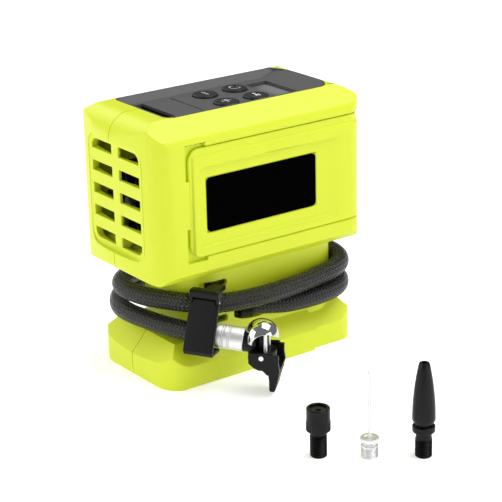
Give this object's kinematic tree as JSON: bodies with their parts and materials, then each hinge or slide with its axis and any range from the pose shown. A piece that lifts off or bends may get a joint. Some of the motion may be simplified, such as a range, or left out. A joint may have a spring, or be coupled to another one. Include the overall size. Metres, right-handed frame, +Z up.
{
  "type": "portable tire inflator",
  "caption": "Upright battery tire inflator with a top control panel, side vents, a braided hose wound round its neck, a lever chuck in front and loose valve adaptors.",
  "frame": {"origin": "centre of the battery socket, on the surface that the foot stands on", "axes": "+Z up, +X to the right of the long front face, -Y out of the front face"},
  "size_m": [0.131, 0.2088, 0.1348],
  "materials": {
    "lime_plastic": "satin moulding",
    "gloss_black": "gloss",
    "panel_grey": "fine texture",
    "display_lens": "smoked",
    "button_grey": "soft satin",
    "circuit_green": "solder mask",
    "black_plastic": "satin moulding",
    "steel": "turned",
    "chrome": "polished",
    "brass": "machined",
    "nylon": "natural",
    "cast_aluminium": "cast",
    "black_rubber": "matte",
    "hose_braid": "braided sleeve"
  },
  "bodies": {
    "housing": {"front_shell": "lime_plastic", "rear_shell": "lime_plastic", "shell_screws": "steel", "wrap_cover": "lime_plastic", "label_plate": "gloss_black", "control_panel": "panel_grey", "display_pane": "display_lens", "display_module": "black_plastic", "tact_switches": "black_plastic", "circuit_board": "circuit_green", "lid_pin": "steel", "storage_bin": "black_plastic", "motor_can": "steel", "compressor_frame": "cast_aluminium", "gear_axle": "steel", "cylinder_head": "cast_aluminium", "head_gasket": "black_rubber", "head_screws": "steel", "air_tube": "black_rubber", "power_leads": "black_rubber", "terminal_block": "black_plastic", "contact_blades": "brass", "hose_gland": "black_plastic", "air_hose": "hose_braid", "hose_ferrule": "steel", "clip_base": "black_plastic", "clip_pin": "steel", "chuck_body": "black_plastic", "chuck_cap": "chrome", "chuck_plunger": "steel", "chuck_posts": "steel", "chuck_seal": "black_rubber", "lever_pins": "steel"},
    "minus_key": {"minus_button": "button_grey"},
    "power_key": {"power_button": "button_grey"},
    "plus_key": {"plus_button": "button_grey"},
    "mode_key": {"mode_button": "button_grey"},
    "lid": {"storage_lid": "panel_grey"},
    "clip_latch": {"clip_leaf": "black_plastic"},
    "lever": {"chuck_lever": "black_plastic"},
    "crank": {"drive_gear": "nylon", "crank_pin": "steel"},
    "rotor": {"motor_shaft": "steel", "pinion": "brass", "cooling_fan": "black_plastic"},
    "rod": {"connecting_rod": "black_plastic", "wrist_pin": "steel"},
    "piston_body": {"piston": "cast_aluminium", "piston_ring": "black_rubber"},
    "presta": {"presta_body": "black_plastic", "presta_seal": "black_rubber"},
    "needle": {"needle_base": "steel", "needle_stem": "steel"},
    "nozzle": {"tapered_nozzle": "black_plastic"}
  },
  "joints": [
    {"name": "minus_press", "type": "slide", "parent": "housing", "child": "minus_key", "axis": [0, 0, -1], "range_m": [0, 0.0009], "stiffness_N_per_m": 300},
    {"name": "power_press", "type": "slide", "parent": "housing", "child": "power_key", "axis": [0, 0, -1], "range_m": [0, 0.0009], "stiffness_N_per_m": 300},
    {"name": "plus_press", "type": "slide", "parent": "housing", "child": "plus_key", "axis": [0, 0, -1], "range_m": [0, 0.0009], "stiffness_N_per_m": 300},
    {"name": "mode_press", "type": "slide", "parent": "housing", "child": "mode_key", "axis": [0, 0, -1], "range_m": [0, 0.0009], "stiffness_N_per_m": 300},
    {"name": "lid_hinge", "type": "hinge", "parent": "housing", "child": "lid", "pos_m": [-0.0216, 0, 0.1302], "axis": [0, 1, 0], "range_deg": [0, 97]},
    {"name": "clip_hinge", "type": "hinge", "parent": "housing", "child": "clip_latch", "pos_m": [-0.03947, -0.03622, 0.0452], "axis": [-0.5075, 0.8616, 0], "range_deg": [0, 60]},
    {"name": "lever_hinge", "type": "hinge", "parent": "housing", "child": "lever", "pos_m": [-0.02014, -0.05701, 0.0208], "axis": [-0.7314, -0.682, 0], "range_deg": [0, 60]},
    {"name": "gear_spin", "type": "hinge", "parent": "housing", "child": "crank", "pos_m": [0.015, -0.013, 0.07649], "axis": [1, 0, 0], "continuous": true},
    {"name": "rotor_spin", "type": "hinge", "parent": "housing", "child": "rotor", "pos_m": [0, 0, 0.09], "axis": [1, 0, 0], "continuous": true},
    {"name": "rod_swing", "type": "hinge", "parent": "crank", "child": "rod", "pos_m": [0.0225, -0.016, 0.07649], "axis": [1, 0, 0], "continuous": true},
    {"name": "piston_stroke", "type": "slide", "parent": "housing", "child": "piston_body", "axis": [0, 1, 0], "range_m": [0, 0.006]},
    {"name": "presta_lift", "type": "slide", "parent": "housing", "child": "presta", "axis": [0, 0, 1], "range_m": [0, 0.06]},
    {"name": "needle_lift", "type": "slide", "parent": "housing", "child": "needle", "axis": [0, 0, 1], "range_m": [0, 0.06]},
    {"name": "nozzle_lift", "type": "slide", "parent": "housing", "child": "nozzle", "axis": [0, 0, 1], "range_m": [0, 0.06]}
  ],
  "couplings": [
    {"joint": "rotor_spin", "follows": "gear_spin", "ratio": -4},
    {"joint": "rod_swing", "follows": "gear_spin", "ratio": -1}
  ]
}
